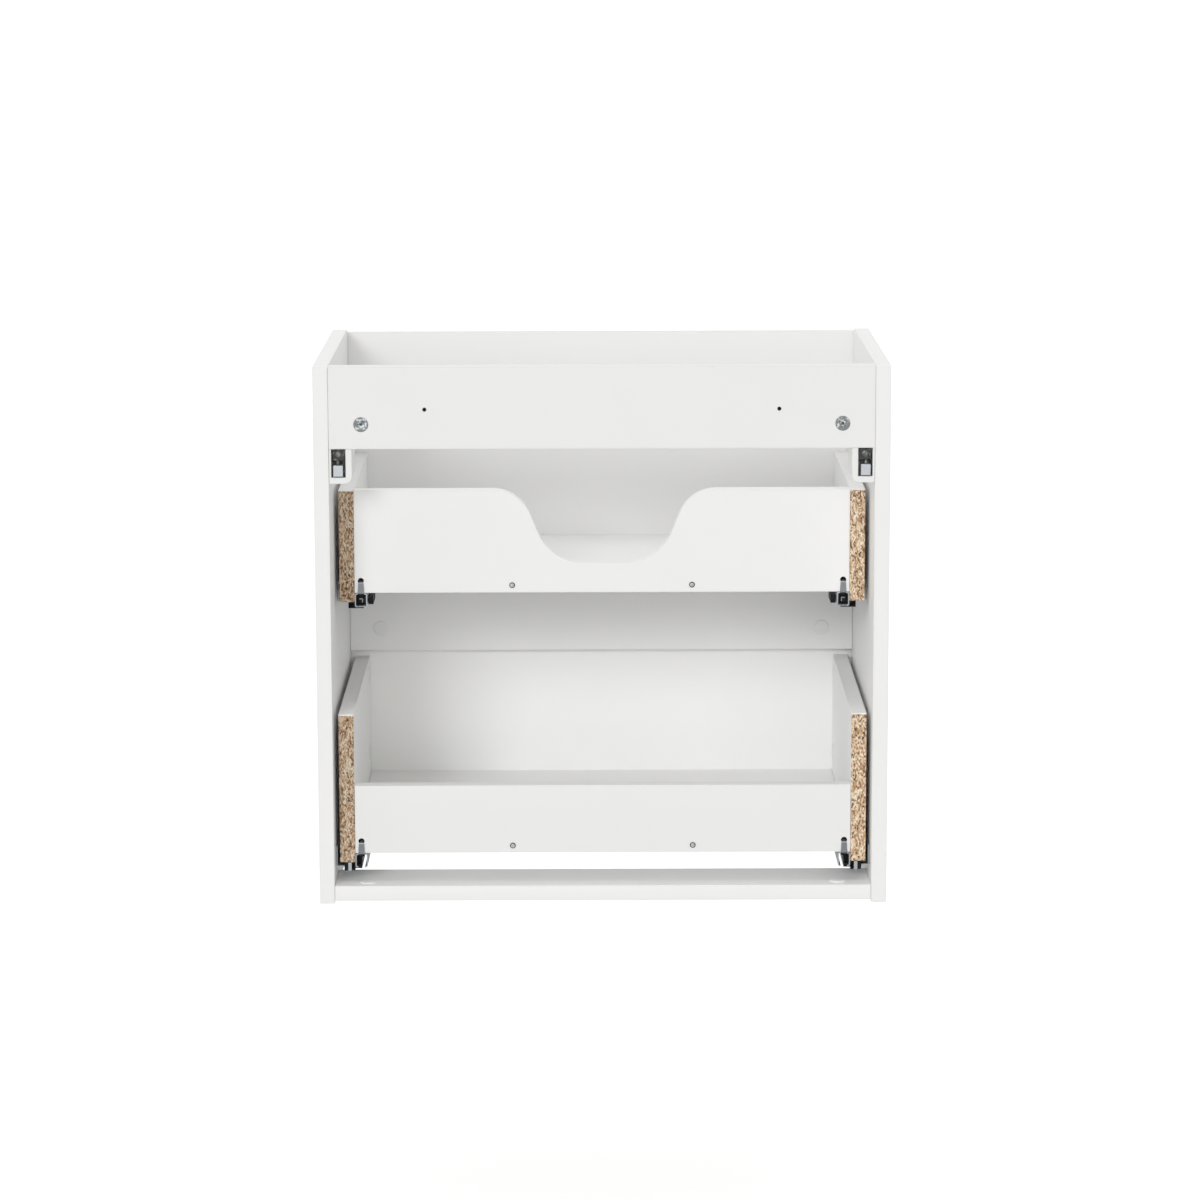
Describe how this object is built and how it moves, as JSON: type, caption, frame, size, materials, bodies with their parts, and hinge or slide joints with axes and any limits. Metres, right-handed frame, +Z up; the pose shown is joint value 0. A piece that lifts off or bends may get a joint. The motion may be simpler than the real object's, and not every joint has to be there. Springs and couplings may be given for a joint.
{
  "type": "wall-hung drawer cabinet with undermount slides",
  "caption": "Wall-hung cabinet body with stacked drawers on full-extension undermount slides, hooking onto a wall rail and carrying a basin or worktop.",
  "frame": {"origin": "centre of the bounding box's bottom face", "axes": "+Z up; +Y the way the drawers open, so the wall side faces -Y; +X to the right as seen from the wall side"},
  "size_m": [0.6, 0.368, 0.572],
  "materials": {
    "white_board": "white melamine-faced chipboard with edge banding",
    "white_plastic": "moulded white plastic",
    "black_plastic": "moulded black plastic",
    "grey_plastic": "moulded grey plastic",
    "zinc_plated_steel": "zinc-plated sheet steel",
    "dark_steel": "dark passivated steel",
    "cast_zinc": "die-cast zinc"
  },
  "bodies": {
    "carcass": {"side_panel_left": "white_board", "side_panel_right": "white_board", "rear_top_rail": "white_board", "front_mid_rail": "white_board", "rear_bottom_rail": "white_board", "rear_rail_cam_left": "cast_zinc", "mid_rail_cap_left": "white_plastic", "bottom_rail_cap_left": "white_plastic", "rear_rail_cam_right": "cast_zinc", "mid_rail_cap_right": "white_plastic", "bottom_rail_cap_right": "white_plastic", "hanger_housing_left": "white_plastic", "hanger_block_left": "dark_steel", "hanger_housing_right": "white_plastic", "hanger_block_right": "dark_steel", "upper_left_cabinet_rail": "zinc_plated_steel", "upper_left_end_stop": "black_plastic", "upper_right_cabinet_rail": "zinc_plated_steel", "upper_right_end_stop": "black_plastic", "lower_left_cabinet_rail": "zinc_plated_steel", "lower_left_end_stop": "black_plastic", "lower_right_cabinet_rail": "zinc_plated_steel", "lower_right_end_stop": "black_plastic"},
    "hook_left": {"hanger_hook_left": "zinc_plated_steel"},
    "hook_right": {"hanger_hook_right": "zinc_plated_steel"},
    "upper_left_cage": {"upper_left_ball_cage": "black_plastic"},
    "upper_left_middle": {"upper_left_middle_rail": "zinc_plated_steel"},
    "upper_left_lever": {"upper_left_latch_lever": "black_plastic"},
    "upper_right_cage": {"upper_right_ball_cage": "black_plastic"},
    "upper_right_middle": {"upper_right_middle_rail": "zinc_plated_steel"},
    "upper_right_lever": {"upper_right_latch_lever": "black_plastic"},
    "upper_drawer": {"upper_drawer_side_left": "white_board", "upper_drawer_side_right": "white_board", "upper_drawer_back": "white_board", "upper_drawer_floor": "white_board", "upper_drawer_front": "white_board", "upper_drawer_back_screw_1": "zinc_plated_steel", "upper_drawer_back_screw_2": "zinc_plated_steel", "upper_left_drawer_rail": "zinc_plated_steel", "upper_left_latch_housing": "grey_plastic", "upper_right_drawer_rail": "zinc_plated_steel", "upper_right_latch_housing": "grey_plastic"},
    "lower_left_cage": {"lower_left_ball_cage": "black_plastic"},
    "lower_left_middle": {"lower_left_middle_rail": "zinc_plated_steel"},
    "lower_left_lever": {"lower_left_latch_lever": "black_plastic"},
    "lower_right_cage": {"lower_right_ball_cage": "black_plastic"},
    "lower_right_middle": {"lower_right_middle_rail": "zinc_plated_steel"},
    "lower_right_lever": {"lower_right_latch_lever": "black_plastic"},
    "lower_drawer": {"lower_drawer_side_left": "white_board", "lower_drawer_side_right": "white_board", "lower_drawer_back": "white_board", "lower_drawer_floor": "white_board", "lower_drawer_front": "white_board", "lower_drawer_back_screw_1": "zinc_plated_steel", "lower_drawer_back_screw_2": "zinc_plated_steel", "lower_left_drawer_rail": "zinc_plated_steel", "lower_left_latch_housing": "grey_plastic", "lower_right_drawer_rail": "zinc_plated_steel", "lower_right_latch_housing": "grey_plastic"}
  },
  "joints": [
    {"name": "upper_drawer_pull", "type": "slide", "parent": "carcass", "child": "upper_drawer", "axis": [0, 1, 0], "range_m": [0, 0.25]},
    {"name": "upper_left_middle_slide", "type": "slide", "parent": "carcass", "child": "upper_left_middle", "axis": [0, 1, 0], "range_m": [0, 0.125]},
    {"name": "upper_left_cage_roll", "type": "slide", "parent": "carcass", "child": "upper_left_cage", "axis": [0, 1, 0], "range_m": [0, 0.0625]},
    {"name": "upper_left_lever_squeeze", "type": "hinge", "parent": "upper_drawer", "child": "upper_left_lever", "pos_m": [-0.24, 0.137, 0.3156], "axis": [0, 0, -1], "range_deg": [0, 14], "stiffness_Nm_per_rad": 0.3},
    {"name": "upper_right_middle_slide", "type": "slide", "parent": "carcass", "child": "upper_right_middle", "axis": [0, 1, 0], "range_m": [0, 0.125]},
    {"name": "upper_right_cage_roll", "type": "slide", "parent": "carcass", "child": "upper_right_cage", "axis": [0, 1, 0], "range_m": [0, 0.0625]},
    {"name": "upper_right_lever_squeeze", "type": "hinge", "parent": "upper_drawer", "child": "upper_right_lever", "pos_m": [0.24, 0.137, 0.3156], "axis": [0, 0, 1], "range_deg": [0, 14], "stiffness_Nm_per_rad": 0.3},
    {"name": "lower_drawer_pull", "type": "slide", "parent": "carcass", "child": "lower_drawer", "axis": [0, 1, 0], "range_m": [0, 0.3]},
    {"name": "lower_left_middle_slide", "type": "slide", "parent": "carcass", "child": "lower_left_middle", "axis": [0, 1, 0], "range_m": [0, 0.15]},
    {"name": "lower_left_cage_roll", "type": "slide", "parent": "carcass", "child": "lower_left_cage", "axis": [0, 1, 0], "range_m": [0, 0.075]},
    {"name": "lower_left_lever_squeeze", "type": "hinge", "parent": "lower_drawer", "child": "lower_left_lever", "pos_m": [-0.24, 0.137, 0.0437], "axis": [0, 0, -1], "range_deg": [0, 14], "stiffness_Nm_per_rad": 0.3},
    {"name": "lower_right_middle_slide", "type": "slide", "parent": "carcass", "child": "lower_right_middle", "axis": [0, 1, 0], "range_m": [0, 0.15]},
    {"name": "lower_right_cage_roll", "type": "slide", "parent": "carcass", "child": "lower_right_cage", "axis": [0, 1, 0], "range_m": [0, 0.075]},
    {"name": "lower_right_lever_squeeze", "type": "hinge", "parent": "lower_drawer", "child": "lower_right_lever", "pos_m": [0.24, 0.137, 0.0437], "axis": [0, 0, 1], "range_deg": [0, 14], "stiffness_Nm_per_rad": 0.3},
    {"name": "hook_left_reach", "type": "slide", "parent": "carcass", "child": "hook_left", "axis": [0, -1, 0], "range_m": [0, 0.012]},
    {"name": "hook_right_reach", "type": "slide", "parent": "carcass", "child": "hook_right", "axis": [0, -1, 0], "range_m": [0, 0.012]}
  ],
  "couplings": [
    {"joint": "upper_left_middle_slide", "follows": "upper_drawer_pull", "ratio": 0.5},
    {"joint": "upper_left_cage_roll", "follows": "upper_drawer_pull", "ratio": 0.25},
    {"joint": "upper_right_middle_slide", "follows": "upper_drawer_pull", "ratio": 0.5},
    {"joint": "upper_right_cage_roll", "follows": "upper_drawer_pull", "ratio": 0.25},
    {"joint": "lower_left_middle_slide", "follows": "lower_drawer_pull", "ratio": 0.5},
    {"joint": "lower_left_cage_roll", "follows": "lower_drawer_pull", "ratio": 0.25},
    {"joint": "lower_right_middle_slide", "follows": "lower_drawer_pull", "ratio": 0.5},
    {"joint": "lower_right_cage_roll", "follows": "lower_drawer_pull", "ratio": 0.25}
  ]
}
